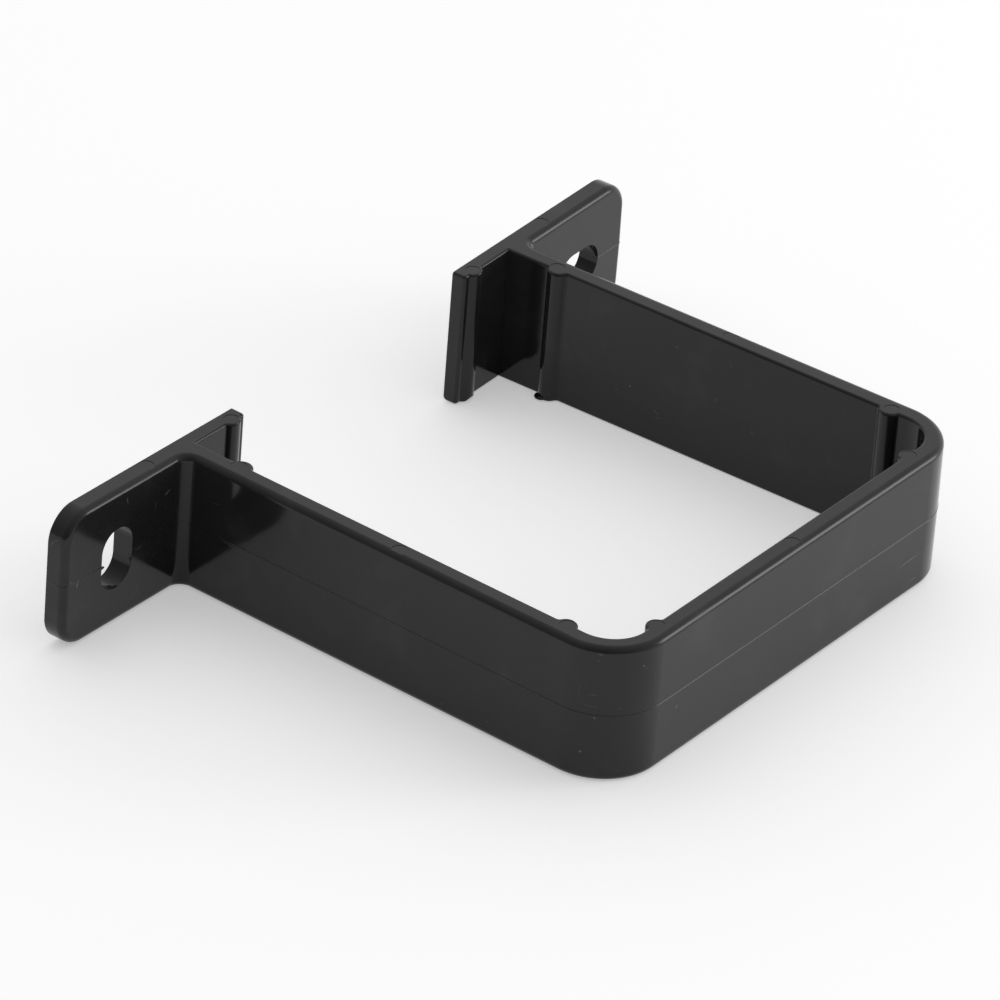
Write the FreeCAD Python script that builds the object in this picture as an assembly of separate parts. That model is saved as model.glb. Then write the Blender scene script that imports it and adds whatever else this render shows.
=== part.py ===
import FreeCAD, Part
import math
import os

# Wall clip for a square rainwater downpipe, moulded in one piece. A band wraps the front and the sides
# of the pipe, and each arm of it ends at the wall in a screw lug outside and a short lip inside.
# Half-round ribs on the band and on the lips' ends locate the pipe.
# Millimetres, +Z along the pipe, with the wall at the back, towards +Y.
# The origin is on the pipe's axis, level with the band's lower edge.

# Pipe and the room round it
pipe_size = 65.0
side_clearance = 1.75            # from pipe to rib at the front corners, which the lean takes up at the back
front_clearance = 1.35           # from pipe to rib, at the front and at the lips

# Band
band_height = 20.0
arm_thickness = 3.1
front_thickness = 3.0
outer_corner_radius = 8.8
inner_corner_radius = 5.25
arm_lean = 1.5                   # degrees that each arm leans in, so that it grips the pipe
outer_edge_radius = 1.0
inner_edge_radius = 0.3

# Screw lugs
lug_thickness = 3.1
lug_length = 23.5                # from the arm's outer face
lug_corner_radius = 4.3
lug_root_radius = 1.7

# Lips
lip_thickness = 2.1
lip_length = 8.15                # from the arm's inner face to the rib on the lip's end

# Locating ribs
rib_radius = 1.5
rib_height = 1.15                # on the arms and on the front wall
lip_rib_radius = 1.75
lip_rib_height = 0.6
rib_end_chamfer = 0.25
rear_rib_setback = 10.1          # from the wall to the arm's rear rib
front_rib_setback = 8.2          # from the front wall's inner face to the arm's front rib
front_rib_spacing = 55.4         # between the two ribs on the front wall

# Screw slots, upright in the left lug and level in the right one, so that the clip can be trued up
slot_width = 6.0
slot_length = 9.0
slot_setback = 13.1              # from the arm's outer face to the slot's centre

# Witness marks of the ejector pins, on the upper edge
pin_diameter = 2.2
pin_mark_depth = 0.15
rib_pin_inset = 1.45             # from a rib's tip to the centre of the pin behind it
lug_pin_setback = 5.7            # from the arm's outer face

# Sizes that follow, with depths counted from the wall
inner_half_width = pipe_size / 2 + side_clearance + rib_height
outer_half_width = inner_half_width + arm_thickness
lip_rib_depth = lip_thickness + lip_rib_height
pipe_axis_depth = lip_rib_depth + front_clearance + pipe_size / 2
inner_depth = pipe_axis_depth + pipe_size / 2 + front_clearance + rib_height
outer_depth = inner_depth + front_thickness
lug_end = outer_half_width + lug_length
lip_rib_x = inner_half_width - lip_length
slot_x = outer_half_width + slot_setback
middle = band_height / 2

LEFT, RIGHT = -1, 1
UP = FreeCAD.Vector(0, 0, 1)
TOWARDS_WALL = FreeCAD.Vector(0, 1, 0)


def at(x, depth, z=0.0):
    """A place in the clip, with its depth counted from the wall towards the front."""
    return FreeCAD.Vector(x, pipe_axis_depth - depth, z)


def lean_placement(side):
    """The turn that leans one arm in, about the sharp front corner that its outer face starts from."""
    turn = FreeCAD.Rotation(UP, side * arm_lean)
    return FreeCAD.Placement(FreeCAD.Vector(), turn, at(side * outer_half_width, outer_depth))


def on_arm(side, x, depth, z=0.0):
    """A place on one arm, its lug or its lip, given as if the arm stood square and then leaned."""
    return lean_placement(side).multVec(at(side * x, depth, z))


def arm_direction(side, x, y):
    """A direction on one arm, given as if the arm stood square and then leaned."""
    return lean_placement(side).Rotation.multVec(FreeCAD.Vector(side * x, y, 0))


def prism(outline):
    """An upright prism of the band's height over a closed outline."""
    return Part.Face(Part.Wire(outline)).extrude(UP * band_height)


def straight_prism(corners):
    """The same over an outline of straight lines."""
    closed = corners + corners[:1]
    return prism([Part.LineSegment(a, b).toShape() for a, b in zip(closed, closed[1:])])


def edge_through(shape, place):
    """The edge that passes nearest to a place."""
    mark = Part.Vertex(place)
    return min(shape.Edges, key=lambda edge: edge.distToShape(mark)[0])


def rounded(shape, radius, places):
    """The shape with the edges through these places rounded, each on along its smooth run."""
    for place in places:
        shape = shape.makeFillet(radius, [edge_through(shape, place)])
    return shape


def outer_block():
    """The band and both lugs from outside, solid between the arms."""
    corners = []
    for side in (RIGHT, LEFT):
        run = [
            at(side * outer_half_width, outer_depth),
            on_arm(side, outer_half_width, lug_thickness),
            on_arm(side, lug_end, lug_thickness),
            on_arm(side, lug_end, 0),
            on_arm(side, lip_rib_x, 0),
        ]
        corners += run if side == RIGHT else run[::-1]
    block = straight_prism(corners)
    for side in (LEFT, RIGHT):
        front_corner = at(side * outer_half_width, outer_depth, middle)
        block = rounded(block, outer_corner_radius, [front_corner])
        lug_root = on_arm(side, outer_half_width, lug_thickness, middle)
        block = rounded(block, lug_root_radius, [lug_root])
        lug_corners = [on_arm(side, lug_end, lug_thickness / 2, z) for z in (0, band_height)]
        block = rounded(block, lug_corner_radius, lug_corners)
    return rounded(block, outer_edge_radius, [at(0, outer_depth, band_height)])


def inner_corner(side):
    """The sharp corner where the front wall's inner face meets the arm's."""
    lean = math.radians(arm_lean)
    across = arm_thickness / math.cos(lean) + front_thickness * math.tan(lean)
    return at(side * (outer_half_width - across), inner_depth)


def channel():
    """The space inside the band, with the narrower mouth between the lips running out at the back."""
    past_wall = lip_thickness
    corners = []
    for side in (RIGHT, LEFT):
        run = [
            inner_corner(side),
            on_arm(side, inner_half_width, lip_thickness),
            on_arm(side, lip_rib_x, lip_thickness),
            on_arm(side, lip_rib_x, -past_wall),
        ]
        corners += run if side == RIGHT else run[::-1]
    space = straight_prism(corners)
    corner_edges = [inner_corner(side) + UP * middle for side in (LEFT, RIGHT)]
    return rounded(space, inner_corner_radius, corner_edges)


def band():
    """The plain band with its lugs and lips, its upper and lower edges rounded."""
    body = outer_block().cut(channel())
    for z in (0, band_height):
        inner_runs = [at(0, inner_depth, z)]
        for side in (LEFT, RIGHT):
            inner_runs.append(on_arm(side, inner_half_width - lip_length / 2, lip_thickness, z))
        body = rounded(body, inner_edge_radius, inner_runs)
    return body


def rib(foot, towards_pipe):
    """A half-round rib on a wall, its foot on the wall's inner face and its root inside the wall."""
    centre = foot + towards_pipe * (rib_height - rib_radius)
    bar = Part.makeCylinder(rib_radius, band_height, centre)
    ends = [edge for edge in bar.Edges if edge.Closed]
    bar = bar.makeChamfer(rib_end_chamfer, ends)
    along = towards_pipe.cross(UP) * (2 * rib_radius)
    root = foot - towards_pipe * (min(arm_thickness, front_thickness) / 3)
    past_tip = foot + towards_pipe * (2 * rib_height)
    return bar.common(straight_prism([root - along, root + along, past_tip + along, past_tip - along]))


def lip_nose(side):
    """The lip's end, which swells into a rib towards the pipe and stands square to the wall."""
    rib_centre = lip_rib_depth - lip_rib_radius
    nose_x = lip_rib_x - lip_rib_radius
    foot_x = lip_rib_x + math.sqrt(lip_rib_radius ** 2 - (lip_thickness - rib_centre) ** 2)
    square_start = on_arm(side, nose_x, 0)
    swell_start = on_arm(side, nose_x, rib_centre)
    tip = on_arm(side, lip_rib_x, lip_rib_depth)
    foot = on_arm(side, foot_x, lip_thickness)
    wall_end = on_arm(side, foot_x, 0)
    shape = prism([
        Part.LineSegment(wall_end, square_start).toShape(),
        Part.LineSegment(square_start, swell_start).toShape(),
        Part.Arc(swell_start, tip, foot).toShape(),
        Part.LineSegment(foot, wall_end).toShape(),
    ])
    for place in (tip, tip + UP * band_height):
        shape = shape.makeChamfer(rib_end_chamfer, [edge_through(shape, place)])
    return shape


def rib_feet():
    """Where each rib's foot is, with the direction that it points in, for the six ribs on the band."""
    feet = []
    for side in (LEFT, RIGHT):
        inwards = arm_direction(side, -1, 0)
        for depth in (rear_rib_setback, inner_depth - front_rib_setback):
            feet.append((on_arm(side, inner_half_width, depth), inwards))
        feet.append((at(side * front_rib_spacing / 2, inner_depth), TOWARDS_WALL))
    return feet


def slot_cutter(side, run):
    """A round-ended bar that runs through one lug square to the wall, long in the direction of run."""
    reach = (slot_length - slot_width) / 2
    round_across = run.cross(TOWARDS_WALL)
    centre = on_arm(side, slot_x, lug_thickness / 2, middle) - TOWARDS_WALL * (2 * lug_thickness)
    radius = slot_width / 2
    low, high = centre - run * reach, centre + run * reach
    outline = [
        Part.LineSegment(low + round_across * radius, high + round_across * radius).toShape(),
        Part.Arc(high + round_across * radius, high + run * radius, high - round_across * radius).toShape(),
        Part.LineSegment(high - round_across * radius, low - round_across * radius).toShape(),
        Part.Arc(low - round_across * radius, low - run * radius, low + round_across * radius).toShape(),
    ]
    return Part.Face(Part.Wire(outline)).extrude(TOWARDS_WALL * (4 * lug_thickness))


def pin_places():
    """Where the ejector pins push on the upper edge: at each rib, mid-arm, mid-front and on each lug."""
    places = [foot + direction * (rib_height - rib_pin_inset) for foot, direction in rib_feet()]
    places.append(at(0, (inner_depth + outer_depth) / 2))
    for side in (LEFT, RIGHT):
        places.append(on_arm(side, lip_rib_x, lip_rib_depth - rib_pin_inset))
        places.append(on_arm(side, (inner_half_width + outer_half_width) / 2, outer_depth / 2))
        places.append(on_arm(side, outer_half_width + lug_pin_setback, lug_thickness / 2))
    return places


def pin_mark(place):
    """The shallow round mark of one pin."""
    start = place + UP * (band_height - pin_mark_depth)
    return Part.makeCylinder(pin_diameter / 2, 2 * pin_mark_depth, start)


def downpipe_clip():
    """The whole clip."""
    ribs = [rib(foot, direction) for foot, direction in rib_feet()]
    noses = [lip_nose(side) for side in (LEFT, RIGHT)]
    body = band().fuse(ribs + noses).removeSplitter()
    cutters = [slot_cutter(LEFT, UP), slot_cutter(RIGHT, FreeCAD.Vector(1, 0, 0))]
    return body.cut(cutters + [pin_mark(place) for place in pin_places()])


os.makedirs("parts", exist_ok=True)
clip = downpipe_clip()
clip.exportStep("parts/downpipe_clip.step")
print("downpipe_clip", clip.ShapeType, len(clip.Solids), clip.isValid(), round(clip.Volume, 1), clip.BoundBox)
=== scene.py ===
"""A square downpipe wall clip in black PVC-u, standing on its lower edge on a white studio floor."""
import bpy
import bmesh
import math
from mathutils import Matrix, Vector


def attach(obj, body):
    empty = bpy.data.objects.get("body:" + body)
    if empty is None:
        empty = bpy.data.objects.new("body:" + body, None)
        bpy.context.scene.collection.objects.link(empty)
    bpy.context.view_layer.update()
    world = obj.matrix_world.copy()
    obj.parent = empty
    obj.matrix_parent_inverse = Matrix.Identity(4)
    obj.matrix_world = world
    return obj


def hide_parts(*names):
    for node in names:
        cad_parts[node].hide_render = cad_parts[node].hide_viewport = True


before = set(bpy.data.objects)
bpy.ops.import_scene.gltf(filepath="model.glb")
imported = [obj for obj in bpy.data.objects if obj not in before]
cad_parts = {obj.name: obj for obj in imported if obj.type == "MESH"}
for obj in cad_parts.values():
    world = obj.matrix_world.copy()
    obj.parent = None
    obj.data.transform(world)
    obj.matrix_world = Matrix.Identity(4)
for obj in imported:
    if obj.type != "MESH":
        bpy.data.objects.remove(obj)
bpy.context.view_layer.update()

MM = 0.001

# The clip's sizes in millimetres, the same as in its CAD source. Depths are counted from the wall.
BAND_HEIGHT = 20.0
OUTER_HALF_WIDTH = 38.5
INNER_HALF_WIDTH = 35.4
OUTER_DEPTH = 74.55
INNER_DEPTH = 71.55
PIPE_AXIS_DEPTH = 36.55
OUTER_CORNER_RADIUS = 8.8
INNER_CORNER_RADIUS = 5.25
ARM_LEAN = math.radians(1.5)
OUTER_EDGE_RADIUS = 1.0
LUG_THICKNESS = 3.1
LUG_END = 62.0
LUG_CORNER_RADIUS = 4.3
LUG_ROOT_RADIUS = 1.7
LIP_THICKNESS = 2.1
RIB_RADIUS = 1.5
RIB_HEIGHT = 1.15
REAR_RIB_DEPTH = 10.1
FRONT_RIB_DEPTH = INNER_DEPTH - 8.2
FRONT_WALL_RIB_X = 27.7
SLOT_X = OUTER_HALF_WIDTH + 13.1
SLOT_WIDTH = 6.0
SLOT_LENGTH = 9.0
PIN_RADIUS = 1.1

# Sizes that only the scene has, or that are nearer to the photograph than the CAD source's, in millimetres
INNER_EDGE_RADIUS = 0.38
INNER_FOOT_RADIUS = 0.48
LIP_END = 25.5
LIP_CORNER_RADIUS = 0.5
LIP_RIB_X = 27.9
LIP_RIB_RADIUS = 1.7
LIP_RIB_HEIGHT = 0.8
LIP_RIB_OUTER_FILLET = 0.3
LIP_RIB_INNER_FILLET = 0.4
RIB_FILLET = 0.5
CRISP_FILLET = 0.12
WALL_FOOT_RADIUS = 0.9
NOSE_FOOT_RADIUS = 0.9
PIN_MARK_DEPTH = 0.05
# the outside slopes in to both edges from the mould's parting line, where a thin bead of flash stands
DRAFT = 0.05
BEAD_HEIGHT = 0.045
BEAD_HALF_WIDTH = 0.065

# Sizes that follow
ARM_THICKNESS = OUTER_HALF_WIDTH - INNER_HALF_WIDTH
FRONT_THICKNESS = OUTER_DEPTH - INNER_DEPTH
MIDDLE = BAND_HEIGHT / 2
HALF_CORNER = (math.pi / 2 + ARM_LEAN) / 2      # half of what a front corner turns through
# the inner corner is where the leaned arm's inner face meets the front wall's
ACROSS_CORNER = ARM_THICKNESS / math.cos(ARM_LEAN) + FRONT_THICKNESS * math.tan(ARM_LEAN)
INNER_CORNER_X = OUTER_HALF_WIDTH - ACROSS_CORNER

# How many straight steps stand for each round form
LIP_CORNER_STEPS = 6
FILLET_STEPS = 8
RIB_STEPS = 20
OUTER_CORNER_STEPS = 28
INNER_CORNER_STEPS = 24
LUG_ROOT_STEPS = 14
LUG_CORNER_STEPS = 16
OUTER_EDGE_STEPS = 10
INNER_EDGE_STEPS = 8
SLOT_END_STEPS = 16
FOOT_STEPS = 64                                 # these last three go right round
PIN_STEPS = 40
LOBE_STEPS = 32
SMOOTHING_ANGLE = math.radians(16)

# Distances for picking vertices, edges and faces, in millimetres
SAME_PLACE = 0.001
SLIGHTLY = 0.01
NEARBY = 0.2
BY_THE_WALL = 1.0
PAST_LUG_ROOT = 4.0                             # from where the arm's outer face would stand without its lean

# Limits for picking faces by how far their normal points one way, from 0 to 1
TOWARDS_WALL = 0.95
LEVEL = 0.9
NEARLY_LEVEL = 0.7
NOT_FACING_FRONT = 0.5
UPRIGHT = 0.1


def at(x, depth, z=0.0):
    """A place in the clip, in millimetres, with its depth counted from the wall."""
    return Vector((x, PIPE_AXIS_DEPTH - depth, z))


LEAN_PIVOT = at(OUTER_HALF_WIDTH, OUTER_DEPTH)


def leaned(place):
    """Where a place of the square right arm ends up once the arm leans in."""
    return LEAN_PIVOT + Matrix.Rotation(ARM_LEAN, 3, "Z") @ (place - LEAN_PIVOT)


def on_arm(side, x, depth, z=0.0):
    """A place on an arm, its lug or its lip, given as if the arm stood square and then leaned."""
    place = leaned(at(x, depth, z))
    return Vector((side * place.x, place.y, place.z))


# Picking and editing

def deselect_all():
    if bpy.context.mode != "OBJECT":
        bpy.ops.object.mode_set(mode="OBJECT")
    bpy.ops.object.select_all(action="DESELECT")


def pick_up(piece):
    """Makes one piece the only selected one, and the active one."""
    deselect_all()
    piece.select_set(True)
    bpy.context.view_layer.objects.active = piece


def edit(piece):
    """Opens one piece in edit mode."""
    pick_up(piece)
    bpy.ops.object.mode_set(mode="EDIT")


def close_edit():
    bpy.ops.object.mode_set(mode="OBJECT")


def select(piece, kind, test):
    """Selects the open piece's vertices or edges that pass the test."""
    bpy.ops.mesh.select_mode(type={"verts": "VERT", "edges": "EDGE"}[kind])
    bpy.ops.mesh.select_all(action="DESELECT")
    mesh = bmesh.from_edit_mesh(piece.data)
    for item in getattr(mesh, kind):
        if test(item):
            item.select_set(True)
    mesh.select_flush_mode()
    bmesh.update_edit_mesh(piece.data)


def round_edges(radius, steps):
    """Rounds the selected edges."""
    bpy.ops.mesh.bevel(offset=radius, segments=steps, profile=0.5, affect="EDGES")


def apply_modifier(piece, kind, **settings):
    """Adds one modifier to the piece, with its settings, and applies it."""
    pick_up(piece)
    modifier = piece.modifiers.new(kind.title(), kind)
    for name, value in settings.items():
        setattr(modifier, name, value)
    bpy.ops.object.modifier_apply(modifier=modifier.name)


def flat_distance(a, b):
    """How far apart two places are, seen from above."""
    return (a.xy - b.xy).length


def on_right_side(place):
    """A place, or its mirror image on the right side, seen from above."""
    return Vector((abs(place.x), place.y, 0))


# The clip's plan, drawn from a single vertex

class Pen:
    """Draws the plan by extruding one vertex from place to place."""

    def __init__(self, start):
        bpy.ops.mesh.primitive_plane_add(size=1.0, location=start)
        self.plan = bpy.context.object
        bpy.ops.object.transform_apply(location=True, rotation=False, scale=False)
        edit(self.plan)
        bpy.ops.mesh.merge(type="CENTER")
        self.place = start

    def line_to(self, place):
        bpy.ops.mesh.extrude_region_move(TRANSFORM_OT_translate={"value": place - self.place})
        self.place = place

    def arc(self, centre, angle, steps):
        """Spins the vertex about an upright axis, anticlockwise from above for a positive angle."""
        bpy.ops.mesh.spin(steps=steps, angle=-angle, center=centre, axis=(0, 0, 1))
        self.place = centre + Matrix.Rotation(angle, 3, "Z") @ (self.place - centre)

    def rib(self, foot, towards_pipe, along, radius, height, first_fillet, last_fillet):
        """A half-round rib with a fillet on each side, met while drawing in the direction of along."""
        sunk = radius - height
        turn = math.copysign(1, towards_pipe.cross(along).z)
        first_reach, first_turn = fillet_size(radius, sunk, first_fillet)
        last_reach, last_turn = fillet_size(radius, sunk, last_fillet)
        start = foot - along * first_reach
        end = foot + along * last_reach
        self.line_to(start)
        self.arc(start + towards_pipe * first_fillet, -turn * first_turn, FILLET_STEPS)
        self.arc(foot - towards_pipe * sunk, turn * (first_turn + last_turn), RIB_STEPS)
        self.arc(end + towards_pipe * last_fillet, -turn * last_turn, FILLET_STEPS)


def fillet_size(radius, sunk, fillet):
    """How far from a rib's middle its fillet runs out on the wall, and the angle that it turns through."""
    reach = math.sqrt((radius + fillet) ** 2 - (sunk + fillet) ** 2)
    return reach, math.acos((sunk + fillet) / (radius + fillet))


def draw_right_half():
    """The right half of the plan, drawn square, with its arm then leaned in."""
    inset = DRAFT + BEAD_HEIGHT
    inwards, outwards = Vector((-1, 0, 0)), Vector((1, 0, 0))
    forwards, backwards = Vector((0, -1, 0)), Vector((0, 1, 0))
    pen = Pen(at(0, OUTER_DEPTH - inset))
    plan = pen.plan
    pen.line_to(at(OUTER_HALF_WIDTH - inset, OUTER_DEPTH - inset))
    pen.line_to(at(OUTER_HALF_WIDTH - inset, LUG_THICKNESS - inset))
    pen.line_to(at(LUG_END - inset, LUG_THICKNESS - inset))
    pen.line_to(at(LUG_END - inset, 0))
    pen.line_to(at(LIP_END, 0))
    pen.line_to(at(LIP_END, LIP_THICKNESS - LIP_CORNER_RADIUS))
    lip_corner_centre = at(LIP_END + LIP_CORNER_RADIUS, LIP_THICKNESS - LIP_CORNER_RADIUS)
    pen.arc(lip_corner_centre, math.pi / 2, LIP_CORNER_STEPS)
    pen.rib(at(LIP_RIB_X, LIP_THICKNESS), forwards, outwards, LIP_RIB_RADIUS, LIP_RIB_HEIGHT,
            LIP_RIB_OUTER_FILLET, LIP_RIB_INNER_FILLET)
    pen.line_to(at(INNER_HALF_WIDTH, LIP_THICKNESS))
    for depth, near_fillet in ((REAR_RIB_DEPTH, CRISP_FILLET), (FRONT_RIB_DEPTH, RIB_FILLET)):
        pen.rib(at(INNER_HALF_WIDTH, depth), inwards, forwards, RIB_RADIUS, RIB_HEIGHT,
                near_fillet, RIB_FILLET)
    # all that lies behind the front wall's outer face leans, and the wall's inner face isn't drawn yet
    behind_front = LEAN_PIVOT.y + 1
    select(plan, "verts", lambda v: v.co.y > behind_front)
    bpy.ops.transform.rotate(value=-ARM_LEAN, orient_axis="Z", center_override=LEAN_PIVOT)
    pen.place = leaned(pen.place)
    select(plan, "verts", lambda v: (v.co - pen.place).length < SAME_PLACE)
    pen.line_to(at(INNER_CORNER_X, INNER_DEPTH))
    pen.rib(at(FRONT_WALL_RIB_X, INNER_DEPTH), backwards, inwards, RIB_RADIUS, RIB_HEIGHT,
            RIB_FILLET, RIB_FILLET)
    pen.line_to(at(0, INNER_DEPTH))
    close_edit()
    return plan


# The clip's faces by sort

def is_inside(place):
    """Whether a place is on the pipe's side of the band, the ribs and the lips among it."""
    return abs(place.x) < INNER_HALF_WIDTH + NEARBY and place.y > at(0, INNER_DEPTH).y - SLIGHTLY


def is_wall_face(face):
    return face.normal.y > TOWARDS_WALL and face.calc_center_median().y > at(0, BY_THE_WALL).y


def is_rim(face):
    """Top, bottom and the lugs' ends: what the outer skin's edges are rounded onto."""
    on_lug = abs(face.calc_center_median().x) > OUTER_HALF_WIDTH + PAST_LUG_ROOT
    return abs(face.normal.z) > NEARLY_LEVEL or (on_lug and abs(face.normal.y) < NOT_FACING_FRONT)


def is_outer_skin(face):
    return not (is_rim(face) or is_wall_face(face) or is_inside(face.calc_center_median()))


def is_inner_skin(face):
    upright = abs(face.normal.z) < UPRIGHT
    return upright and not is_wall_face(face) and is_inside(face.calc_center_median())


def one_of_each(edge, first, second):
    """Whether an edge lies between a face of one sort and a face of another."""
    if len(edge.link_faces) != 2:
        return False
    a, b = edge.link_faces
    return (first(a) and second(b)) or (first(b) and second(a))


# The moulding

def mould_clip():
    """The clip in millimetres, without its slots, rounded feet, flash and pin marks."""
    clip = draw_right_half()
    apply_modifier(clip, "MIRROR", use_axis=(True, False, False), use_clip=True, merge_threshold=SAME_PLACE)
    edit(clip)
    select(clip, "verts", lambda v: True)
    bpy.ops.mesh.edge_face_add()
    bpy.ops.mesh.extrude_region_move(TRANSFORM_OT_translate={"value": (0, 0, BAND_HEIGHT)})
    bpy.ops.mesh.select_all(action="SELECT")
    bpy.ops.mesh.normals_make_consistent(inside=False)
    round_upright_corners(clip)
    round_lug_corners(clip)
    select(clip, "edges", lambda e: one_of_each(e, is_rim, is_outer_skin))
    round_edges(OUTER_EDGE_RADIUS, OUTER_EDGE_STEPS)
    for up, radius in ((1, INNER_EDGE_RADIUS), (-1, INNER_FOOT_RADIUS)):
        def is_end(face):
            return up * face.normal.z > LEVEL
        select(clip, "edges", lambda e: one_of_each(e, is_end, is_inner_skin))
        round_edges(radius, INNER_EDGE_STEPS)
    raise_parting_line(clip)
    close_edit()
    return clip


def round_upright_corners(piece):
    """Rounds the band's corners outside and inside, and the lugs' roots."""
    lug_root = on_arm(1, OUTER_HALF_WIDTH, LUG_THICKNESS)
    for corner, radius, half_turn, steps in (
            (LEAN_PIVOT, OUTER_CORNER_RADIUS, HALF_CORNER, OUTER_CORNER_STEPS),
            (at(INNER_CORNER_X, INNER_DEPTH), INNER_CORNER_RADIUS, HALF_CORNER, INNER_CORNER_STEPS),
            (lug_root, LUG_ROOT_RADIUS, math.pi / 4, LUG_ROOT_STEPS)):
        def at_corner(edge):
            low, high = (vert.co for vert in edge.verts)
            upright = flat_distance(low, high) < SAME_PLACE
            return upright and flat_distance(on_right_side(low), corner) < NEARBY
        select(piece, "edges", at_corner)
        round_edges(radius * math.tan(half_turn), steps)


def round_lug_corners(piece):
    """Rounds the lugs' outer corners, upper and lower."""
    lug_end_middle = on_arm(1, LUG_END, LUG_THICKNESS / 2)

    def at_lug_corner(edge):
        middle = (edge.verts[0].co + edge.verts[1].co) / 2
        on_edge = min(abs(middle.z), abs(middle.z - BAND_HEIGHT)) < SAME_PLACE
        return on_edge and flat_distance(on_right_side(middle), lug_end_middle) < NEARBY

    select(piece, "edges", at_lug_corner)
    round_edges(LUG_CORNER_RADIUS, LUG_CORNER_STEPS)


def raise_parting_line(piece):
    """Moves the outside out at mid-height, where the mould's halves met, with a thin bead of flash on it."""
    for z in (MIDDLE - BEAD_HALF_WIDTH, MIDDLE + BEAD_HALF_WIDTH, MIDDLE):
        bpy.ops.mesh.select_mode(type="VERT")
        bpy.ops.mesh.select_all(action="SELECT")
        bpy.ops.mesh.bisect(plane_co=(0, 0, z), plane_no=(0, 0, 1), use_fill=False)

    def on_outside(vert, reach):
        near = abs(vert.co.z - MIDDLE) < reach
        return near and not any(is_wall_face(f) or is_inside(f.calc_center_median()) for f in vert.link_faces)

    for reach, rise in ((BEAD_HALF_WIDTH + SLIGHTLY, DRAFT), (SLIGHTLY, BEAD_HEIGHT)):
        select(piece, "verts", lambda v: on_outside(v, reach))
        bpy.ops.transform.shrink_fatten(value=rise)


def tool_at(kind, place, **settings):
    """A primitive to cut or join with, its place in its mesh."""
    deselect_all()
    getattr(bpy.ops.mesh, "primitive_" + kind + "_add")(location=place, **settings)
    tool = bpy.context.object
    bpy.ops.object.transform_apply(location=True, rotation=True, scale=True)
    return tool


def use_tool(piece, tool, operation):
    """Cuts a piece with a tool, or joins the two, and removes the tool."""
    apply_modifier(piece, "BOOLEAN", operation=operation, solver="EXACT", object=tool)
    bpy.data.objects.remove(tool)


def cut_slot(piece, side, width, height):
    """A round-ended slot through one lug, straight towards the wall."""
    through = 4 * LUG_THICKNESS
    centre = on_arm(side, SLOT_X, LUG_THICKNESS / 2, MIDDLE)
    tool = tool_at("cube", centre, size=1.0, scale=(width, through, height))
    edit(tool)
    select(tool, "edges", lambda e: abs(e.verts[0].co.y - e.verts[1].co.y) > LUG_THICKNESS)
    # a hair less than half the width, so that the two rounds of an end don't meet
    round_edges(SLOT_WIDTH / 2 - SAME_PLACE, SLOT_END_STEPS)
    close_edit()
    use_tool(piece, tool, "DIFFERENCE")


def round_foot(piece, side, from_x, to_x, face_depth, facing, radius):
    """Rounds a lower edge along a lug or a lip with a hollowed bar. Facing is 1 for the front, else -1."""
    reach = 3 * radius
    middle_x, length = (from_x + to_x) / 2, to_x - from_x
    axis_depth = face_depth - facing * radius
    turn = side * ARM_LEAN
    bar_centre = on_arm(side, middle_x, axis_depth + facing * reach / 2, radius - reach / 2)
    bar = tool_at("cube", bar_centre, size=1.0, scale=(length, reach, reach), rotation=(0, 0, turn))
    hollow = tool_at("cylinder", on_arm(side, middle_x, axis_depth, radius), radius=radius,
                     depth=2 * length, vertices=FOOT_STEPS, rotation=(0, math.pi / 2, turn))
    use_tool(bar, hollow, "DIFFERENCE")
    use_tool(piece, bar, "DIFFERENCE")


def round_feet(piece):
    """Rounds the lower edges of both wall faces and of both lips' noses."""
    past_ends = 5
    past_nose = 2
    nose_depth = LIP_THICKNESS + LIP_RIB_HEIGHT
    for side in (-1, 1):
        round_foot(piece, side, LIP_END - past_ends, LUG_END + past_ends, 0, -1, WALL_FOOT_RADIUS)
        round_foot(piece, side, LIP_END - past_nose, LIP_RIB_X + past_nose, nose_depth, 1, NOSE_FOOT_RADIUS)


def add_flash(piece):
    """Two small rounded lobes of flash, placed as in the photograph, with their sizes across."""
    # in the left slot, on its outer side: in from its edge, behind the lug's front face and below the middle
    off_edge, behind_face, below_middle = 0.15, 0.3, 0.4
    slot_flash = on_arm(-1, SLOT_X + SLOT_WIDTH / 2 - off_edge, LUG_THICKNESS - behind_face,
                        MIDDLE - below_middle)
    # at the right rear rib's foot: in from the arm, towards the wall and up from the lower edge
    off_arm, off_rib, foot_height = 0.66, 0.55, 0.36
    foot_flash = on_arm(1, INNER_HALF_WIDTH - off_arm, REAR_RIB_DEPTH - off_rib, foot_height)
    slot_flash_size, foot_flash_size = (1.4, 0.5, 0.3), (1.9, 1.9, 0.7)
    for place, size in ((slot_flash, slot_flash_size), (foot_flash, foot_flash_size)):
        lobe = tool_at("uv_sphere", place, radius=0.5, segments=LOBE_STEPS,
                       ring_count=LOBE_STEPS // 2, scale=size)
        use_tool(piece, lobe, "UNION")


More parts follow.
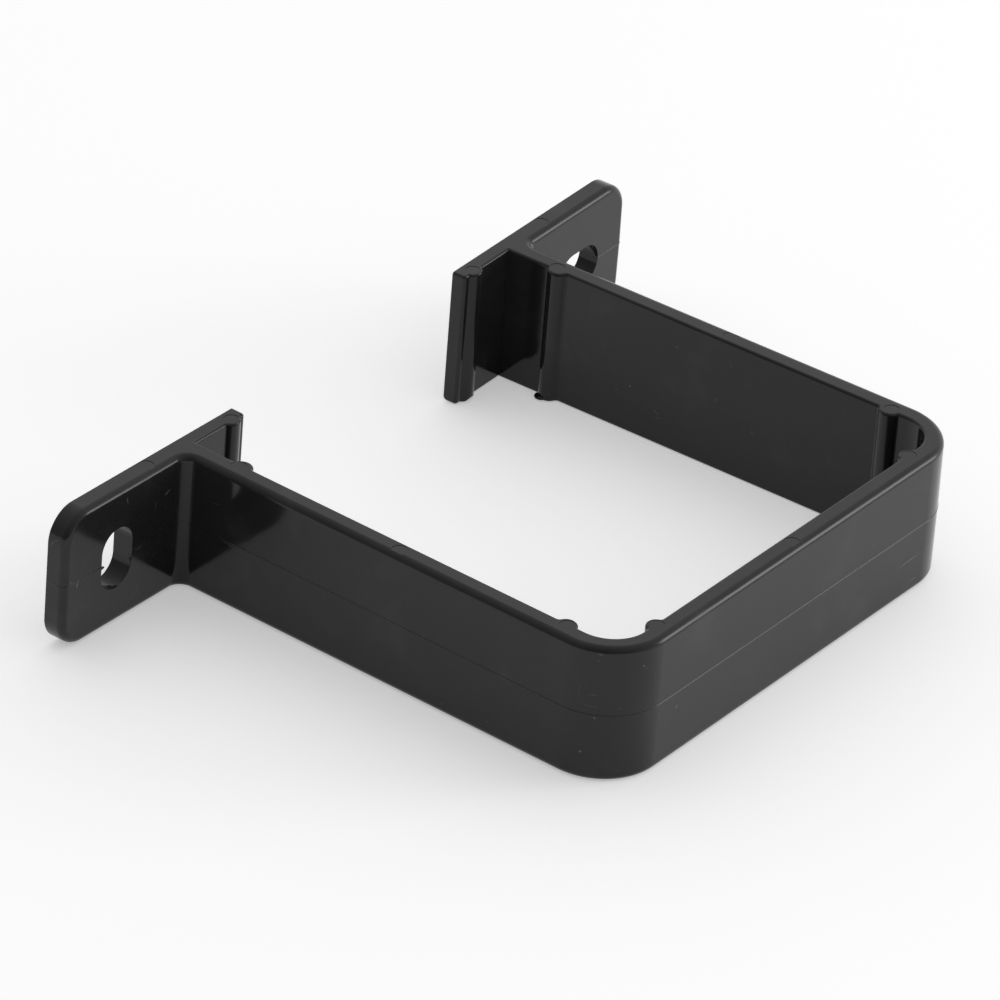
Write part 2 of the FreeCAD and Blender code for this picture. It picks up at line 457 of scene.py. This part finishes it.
def pin_places():
    """Where the ejector pins pushed on the upper edge, each a little off the middle as in the photograph."""
    rear_rib_pin_x, rear_rib_pin_depth = INNER_HALF_WIDTH + 0.55, REAR_RIB_DEPTH - 0.35
    front_rib_pin_x, front_rib_pin_depth = INNER_HALF_WIDTH + 0.4, FRONT_RIB_DEPTH + 0.2
    front_wall_pin_depth = INNER_DEPTH + 0.3
    lip_pin_x, lip_pin_depth = LIP_RIB_X - 0.1, 1.7
    lug_pin_x, lug_pin_depth = OUTER_HALF_WIDTH + 5.7, PIN_RADIUS + 0.05
    places = []
    for side in (-1, 1):
        places.append(on_arm(side, rear_rib_pin_x, rear_rib_pin_depth))
        places.append(on_arm(side, front_rib_pin_x, front_rib_pin_depth))
        places.append(at(side * FRONT_WALL_RIB_X, front_wall_pin_depth))
        places.append(on_arm(side, lip_pin_x, lip_pin_depth))
        places.append(on_arm(side, (INNER_HALF_WIDTH + OUTER_HALF_WIDTH) / 2, OUTER_DEPTH / 2))
        places.append(on_arm(side, lug_pin_x, lug_pin_depth))
    places.append(at(0, (INNER_DEPTH + OUTER_DEPTH) / 2))
    return places


def press_pin_marks(piece):
    """The pins' shallow round marks."""
    for place in pin_places():
        pin = tool_at("cylinder", place + Vector((0, 0, BAND_HEIGHT)), radius=PIN_RADIUS,
                      depth=2 * PIN_MARK_DEPTH, vertices=PIN_STEPS)
        use_tool(piece, pin, "DIFFERENCE")


def smooth(piece):
    """Smooth shading with the sharp edges kept, and flat faces that stay flat."""
    pick_up(piece)
    bpy.ops.object.shade_smooth_by_angle(angle=SMOOTHING_ANGLE)
    apply_modifier(piece, "WEIGHTED_NORMAL", keep_sharp=True, weight=100)


def bring_to_metres(piece):
    """Scales a piece from millimetres to metres, about the frame's origin."""
    piece.scale = (MM, MM, MM)
    pick_up(piece)
    bpy.ops.object.transform_apply(location=True, rotation=True, scale=True)


clip = mould_clip()
cut_slot(clip, -1, SLOT_WIDTH, SLOT_LENGTH)
cut_slot(clip, 1, SLOT_LENGTH, SLOT_WIDTH)
round_feet(clip)
add_flash(clip)
press_pin_marks(clip)
smooth(clip)
bring_to_metres(clip)
clip.name = "wall_clip"
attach(clip, "root")
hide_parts("downpipe_clip")


# Materials

# the sockets of a colour Mix node: its two colours, and the colour that comes out
MIX_A, MIX_B, MIX_RESULT = 6, 7, 2


def linear(hex_colour):
    """An sRGB hex colour as the linear colour that Blender's sockets take."""
    values = [int(hex_colour[i:i + 2], 16) / 255 for i in (1, 3, 5)]
    return [v / 12.92 if v <= 0.04045 else ((v + 0.055) / 1.055) ** 2.4 for v in values] + [1.0]


def add_node(tree, kind, inputs=None, **settings):
    """Adds a node with its settings. An input is a value, or another node's output to link from."""
    node = tree.nodes.new(kind)
    for name, value in settings.items():
        setattr(node, name, value)
    for name, value in (inputs or {}).items():
        if isinstance(value, bpy.types.NodeSocket):
            tree.links.new(value, node.inputs[name])
        else:
            node.inputs[name].default_value = value
    return node


def empty_tree(owner):
    """The node tree of a material or world, emptied."""
    owner.use_nodes = True
    owner.node_tree.nodes.clear()
    return owner.node_tree


def handling_marks():
    """Scratches and nicks: both ends and the half width of each in millimetres, and its paleness."""
    skin = DRAFT / 2 + BEAD_HEIGHT
    corner_reach = OUTER_CORNER_RADIUS * math.tan(HALF_CORNER)
    corner_centre = at(corner_reach - OUTER_HALF_WIDTH, OUTER_DEPTH - OUTER_CORNER_RADIUS)

    def front_wall(x, z):
        return at(x, OUTER_DEPTH - skin, z)

    def left_corner(degrees, z):
        """A place on the front left corner, so far round from the front wall."""
        turn = Matrix.Rotation(-math.radians(degrees), 3, "Z")
        return corner_centre + turn @ Vector((0, skin - OUTER_CORNER_RADIUS, z))

    def left_arm(depth, z):
        return on_arm(-1, OUTER_HALF_WIDTH - skin, depth, z)

    def left_root(x, depth):
        return on_arm(-1, x, depth, MIDDLE)

    def left_lug(x, z):
        return on_arm(-1, x, LUG_THICKNESS - skin, z)

    def left_lug_end(depth, z):
        return on_arm(-1, LUG_END - 2 * skin, depth, z)

    def right_arm_inside(depth, z):
        return on_arm(1, INNER_HALF_WIDTH, depth, z)

    marks = (
        (front_wall, (23.3, 5.4), (29.0, 5.6), 0.12, 0.38),
        (front_wall, (30.2, 5.6), (30.6, 5.7), 0.13, 0.40),
        (front_wall, (27.2, 2.0), (28.2, 2.1), 0.12, 0.32),
        (front_wall, (30.5, 14.5), (30.7, 14.4), 0.15, 0.40),
        (front_wall, (17.0, 12.0), (17.2, 12.4), 0.11, 0.16),
        (front_wall, (-25.8, 7.6), (-25.3, 7.9), 0.14, 0.30),
        (left_corner, (63, 19.2), (57.5, 19.0), 0.14, 0.30),
        (left_corner, (22.5, 17.1), (21.5, 17.0), 0.16, 0.42),
        (left_corner, (21.5, 17.0), (18, 16.3), 0.10, 0.14),
        (left_corner, (68, 12.9), (60.5, 13.0), 0.16, 0.10),
        (left_corner, (71, 11.3), (59, 11.2), 0.13, 0.12),
        (left_corner, (61.5, 9.6), (60.5, 9.5), 0.17, 0.50),
        (left_corner, (71.5, 4.2), (70, 4.2), 0.17, 0.48),
        (left_corner, (76.5, 11.5), (75.5, 14.6), 0.10, 0.06),
        (left_arm, (7.9, 14.6), (8.9, 14.8), 0.12, 0.14),
        (left_arm, (9.5, 9.8), (12.3, 9.4), 0.13, 0.16),
        (left_root, (39.5, 3.2), (38.6, 4.1), 0.20, 0.22),
        (left_lug, (50.1, 18.5), (49.8, 17.4), 0.13, 0.30),
        (left_lug, (42.3, 15.4), (41.4, 15.9), 0.16, 0.46),
        (left_lug, (44.2, 15.5), (44.1, 14.0), 0.11, 0.16),
        (left_lug, (47.9, 9.5), (46.4, 9.7), 0.13, 0.20),
        (left_lug, (60.9, 10.5), (60.3, 10.2), 0.16, 0.20),
        (left_lug, (59.2, 10.1), (59.4, 8.9), 0.15, 0.50),
        (left_lug, (44.4, 7.1), (43.4, 7.3), 0.12, 0.10),
        (left_lug_end, (0.5, 15.4), (0.9, 16.4), 0.12, 0.24),
        (left_lug_end, (0.9, 16.4), (1.8, 16.6), 0.12, 0.24),
        (right_arm_inside, (29.8, 16.0), (30.0, 16.0), 0.14, 0.28),
        (right_arm_inside, (23.0, 7.1), (23.2, 7.2), 0.15, 0.30),
        (right_arm_inside, (27.1, 5.2), (27.9, 4.6), 0.12, 0.18),
        (right_arm_inside, (27.3, 4.0), (28.7, 4.3), 0.11, 0.12),
        (right_arm_inside, (36.5, 10.3), (36.9, 10.9), 0.14, 0.22),
        (right_arm_inside, (38.2, 17.2), (38.8, 16.5), 0.16, 0.10),
        (right_arm_inside, (42.7, 8.4), (42.9, 7.5), 0.12, 0.14),
    )
    return [(face(*start), face(*end), half_width, paleness)
            for face, start, end, half_width, paleness in marks]


def moulded_pvcu():
    """Black PVC-u, injection moulded in a plain steel mould, then handled and packed loose."""
    # to the eye it is smooth and glossy, with soft wavy reflections, duller edges and small pale scuffs
    # the grain is drawn coarser than it is on such a moulding, so that it shows
    smudge_size, dust_spacing, grain_size, wave_length = 7 * MM, 3.2 * MM, 0.3 * MM, 2.4 * MM
    flat_roughness, edge_roughness, smudge_roughness, mark_roughness = 0.08, 0.26, 0.05, 0.3
    mote_reach, mote_paleness, haze_paleness = 0.035, 0.5, 0.03
    wave_height, grain_height, witness_height, witness_half_width = 0.005, 0.0004, 0.006, 0.15 * MM
    steepest_product = 0.25                     # what level times upright comes to at 45 degrees

    material = bpy.data.materials.new("black_pvcu_moulded")
    tree = empty_tree(material)
    coordinates = add_node(tree, "ShaderNodeTexCoord")
    place, normal = coordinates.outputs["Object"], coordinates.outputs["Normal"]

    # the rounded edges, which rub on everything, are duller than the flats
    steepness = add_node(tree, "ShaderNodeSeparateXYZ", {0: normal}).outputs["Z"]
    level = add_node(tree, "ShaderNodeMath", {0: steepness, 1: steepness}, operation="MULTIPLY").outputs[0]
    upright = add_node(tree, "ShaderNodeMath", {0: 1.0, 1: level}, operation="SUBTRACT").outputs[0]
    rounding = add_node(tree, "ShaderNodeMath", {0: level, 1: upright}, operation="MULTIPLY").outputs[0]
    gloss = add_node(tree, "ShaderNodeMapRange", {
        "Value": rounding, "From Max": steepest_product,
        "To Min": flat_roughness, "To Max": edge_roughness}).outputs["Result"]
    smudges = add_node(tree, "ShaderNodeTexNoise", {
        "Vector": place, "Scale": 1 / smudge_size, "Detail": 2.0}).outputs["Fac"]
    smudged = add_node(tree, "ShaderNodeMapRange", {
        "Value": smudges, "From Min": 0.45, "From Max": 0.75, "To Max": smudge_roughness}).outputs["Result"]
    dulled = add_node(tree, "ShaderNodeMath", {0: gloss, 1: smudged}, operation="ADD").outputs[0]

    # scratches and nicks, each a stretched ball of paleness, and the grain that makes them ragged
    worn = 0.0
    for start, end, half_width, paleness in handling_marks():
        along = end - start
        half_length = along.length / 2 + half_width
        centred = add_node(tree, "ShaderNodeMapping", {
            "Vector": place,
            "Location": (start + end) / 2 * MM,
            "Rotation": along.to_track_quat("X", "Z").to_euler(),
            "Scale": Vector((half_length, half_width, half_width)) * MM}, vector_type="TEXTURE")
        mark = add_node(tree, "ShaderNodeTexGradient", {
            "Vector": centred.outputs["Vector"]}, gradient_type="SPHERICAL")
        pale = add_node(tree, "ShaderNodeMapRange", {
            "Value": mark.outputs["Fac"], "From Max": 0.5, "To Max": paleness}).outputs["Result"]
        worn = add_node(tree, "ShaderNodeMath", {0: pale, 1: worn}, operation="MAXIMUM").outputs[0]
    grain = add_node(tree, "ShaderNodeTexNoise", {
        "Vector": place, "Scale": 1 / grain_size, "Detail": 2.0}).outputs["Fac"]
    raggedness = add_node(tree, "ShaderNodeMapRange", {
        "Value": grain, "From Min": 0.35, "From Max": 0.6, "To Min": 0.35}).outputs["Result"]
    ragged = add_node(tree, "ShaderNodeMath", {0: worn, 1: raggedness}, operation="MULTIPLY").outputs[0]

    # specks of dust, and a faint haze where the clip is smudged
    motes = add_node(tree, "ShaderNodeTexVoronoi", {
        "Vector": place, "Scale": 1 / dust_spacing}).outputs["Distance"]
    dust = add_node(tree, "ShaderNodeMapRange", {
        "Value": motes, "From Max": mote_reach, "To Min": mote_paleness, "To Max": 0.0}).outputs["Result"]
    haze = add_node(tree, "ShaderNodeMapRange", {
        "Value": smudges, "From Min": 0.58, "From Max": 0.75, "To Max": haze_paleness}).outputs["Result"]
    marked = add_node(tree, "ShaderNodeMath", {0: ragged, 1: dust}, operation="MAXIMUM").outputs[0]
    marked = add_node(tree, "ShaderNodeMath", {0: marked, 1: haze}, operation="ADD").outputs[0]
    body = add_node(tree, "ShaderNodeMix", {
        0: smudges, MIX_A: linear("#202021"), MIX_B: linear("#2B2B2C")}, data_type="RGBA").outputs[MIX_RESULT]
    colour = add_node(tree, "ShaderNodeMix", {
        0: marked, MIX_A: body, MIX_B: linear("#9A9A98")}, data_type="RGBA").outputs[MIX_RESULT]
    roughness = add_node(tree, "ShaderNodeMath", {
        0: marked, 1: mark_roughness, 2: dulled}, operation="MULTIPLY_ADD").outputs[0]

    # relief in millimetres: the mould's slight waviness and grain, and the parting line's faint witness
    waviness = add_node(tree, "ShaderNodeTexNoise", {
        "Vector": place, "Scale": 1 / wave_length, "Detail": 1.0}).outputs["Fac"]
    relief = add_node(tree, "ShaderNodeMath", {0: waviness, 1: wave_height}, operation="MULTIPLY").outputs[0]
    relief = add_node(tree, "ShaderNodeMath", {
        0: grain, 1: grain_height, 2: relief}, operation="MULTIPLY_ADD").outputs[0]
    height = add_node(tree, "ShaderNodeSeparateXYZ", {0: place}).outputs["Z"]
    off_middle = add_node(tree, "ShaderNodeMath", {0: height, 1: -MIDDLE * MM}, operation="ADD").outputs[0]
    off_middle = add_node(tree, "ShaderNodeMath", {0: off_middle}, operation="ABSOLUTE").outputs[0]
    witness = add_node(tree, "ShaderNodeMapRange", {
        "Value": off_middle, "From Max": witness_half_width,
        "To Min": witness_height, "To Max": 0.0}).outputs["Result"]
    relief = add_node(tree, "ShaderNodeMath", {0: relief, 1: witness}, operation="ADD").outputs[0]
    bump = add_node(tree, "ShaderNodeBump", {
        "Height": relief, "Strength": 1.0, "Distance": MM}).outputs["Normal"]
    shader = add_node(tree, "ShaderNodeBsdfPrincipled", {
        "Base Color": colour, "Roughness": roughness, "IOR": 1.38, "Normal": bump})
    add_node(tree, "ShaderNodeOutputMaterial", {"Surface": shader.outputs["BSDF"]})
    return material


clip.data.materials.clear()
clip.data.materials.append(moulded_pvcu())


# Studio: a white floor and world, one softbox at the front right, and the camera

def white_paper():
    """Matt white background paper, which the camera and the clip's gloss see lifted towards white."""
    lift = 0.37
    material = bpy.data.materials.new("white_paper")
    tree = empty_tree(material)
    rays = add_node(tree, "ShaderNodeLightPath").outputs
    seen = rays["Is Camera Ray"]
    for ray in ("Is Glossy Ray", "Is Transmission Ray"):
        seen = add_node(tree, "ShaderNodeMath", {0: seen, 1: rays[ray]}, operation="MAXIMUM").outputs[0]
    strength = add_node(tree, "ShaderNodeMath", {0: seen, 1: lift}, operation="MULTIPLY").outputs[0]
    glow = add_node(tree, "ShaderNodeEmission", {"Color": linear("#FFFFFF"), "Strength": strength})
    paper = add_node(tree, "ShaderNodeBsdfDiffuse", {"Color": linear("#FFFFFF")})
    both = add_node(tree, "ShaderNodeAddShader", {0: paper.outputs[0], 1: glow.outputs[0]})
    add_node(tree, "ShaderNodeOutputMaterial", {"Surface": both.outputs[0]})
    return material


def lay_floor():
    """A floor of six metres, just low enough not to share a plane with the clip's lower edge."""
    gap = 0.00002
    deselect_all()
    bpy.ops.mesh.primitive_plane_add(size=6.0, location=(0, 0, -gap))
    floor = bpy.context.object
    floor.name = "studio_floor"
    floor.data.materials.append(white_paper())


def light_world():
    """White studio walls, bright on the right where the lamp hangs and dimmer towards the left."""
    dimmest, brightest = 0.12, 0.95
    lamp_side = Vector((0.9, 0.3, 0.1)).normalized()
    world = bpy.data.worlds.new("studio_walls")
    bpy.context.scene.world = world
    tree = empty_tree(world)
    direction = add_node(tree, "ShaderNodeTexCoord").outputs["Generated"]
    towards_lamp = add_node(tree, "ShaderNodeVectorMath", {
        0: direction, 1: lamp_side}, operation="DOT_PRODUCT")
    brightness = add_node(tree, "ShaderNodeMapRange", {
        "Value": towards_lamp.outputs["Value"], "From Min": -1.0, "From Max": 1.0,
        "To Min": dimmest, "To Max": brightest})
    light = add_node(tree, "ShaderNodeBackground", {
        "Color": linear("#FFFFFF"), "Strength": brightness.outputs["Result"]})
    add_node(tree, "ShaderNodeOutputWorld", {"Surface": light.outputs["Background"]})


def hang_softbox(name, direction, distance, size, radiance):
    """A square softbox that faces the clip, as bright as the radiance says."""
    bpy.ops.object.light_add(type="AREA", location=Vector(direction).normalized() * distance)
    box = bpy.context.object
    box.name = name
    box.rotation_euler = Vector(direction).to_track_quat("Z", "Y").to_euler()
    box.data.size = size
    box.data.energy = radiance * math.pi * size * size


def place_camera():
    """The photograph's camera, from its perspective: where it looks from, what at, and its focal length."""
    azimuth, elevation, roll = (math.radians(a) for a in (-145.2839, 31.9109, 4.4993))
    distance, target = 1252.2923, Vector((-22.695, -6.3965, 23.7663))
    photo_pixels, focal_pixels, sensor_width = 1000, 9820.7783, 36.0
    back = Vector((math.cos(elevation) * math.cos(azimuth),
                   math.cos(elevation) * math.sin(azimuth),
                   math.sin(elevation)))
    level = Vector((0, 0, 1)).cross(back).normalized()
    steep = back.cross(level)
    right = math.cos(roll) * level + math.sin(roll) * steep
    up = -math.sin(roll) * level + math.cos(roll) * steep
    bpy.ops.object.camera_add(location=(target + back * distance) * MM)
    camera = bpy.context.object
    camera.rotation_euler = Matrix((right, up, back)).transposed().to_euler()
    camera.data.sensor_width = sensor_width
    camera.data.lens = focal_pixels * sensor_width / photo_pixels
    camera.data.clip_end = 20
    bpy.context.scene.camera = camera


lay_floor()
light_world()
hang_softbox("key_softbox", direction=(0.70, -0.66, 0.20), distance=0.9, size=0.36, radiance=5.0)
place_camera()
bpy.context.scene.view_settings.view_transform = "Standard"
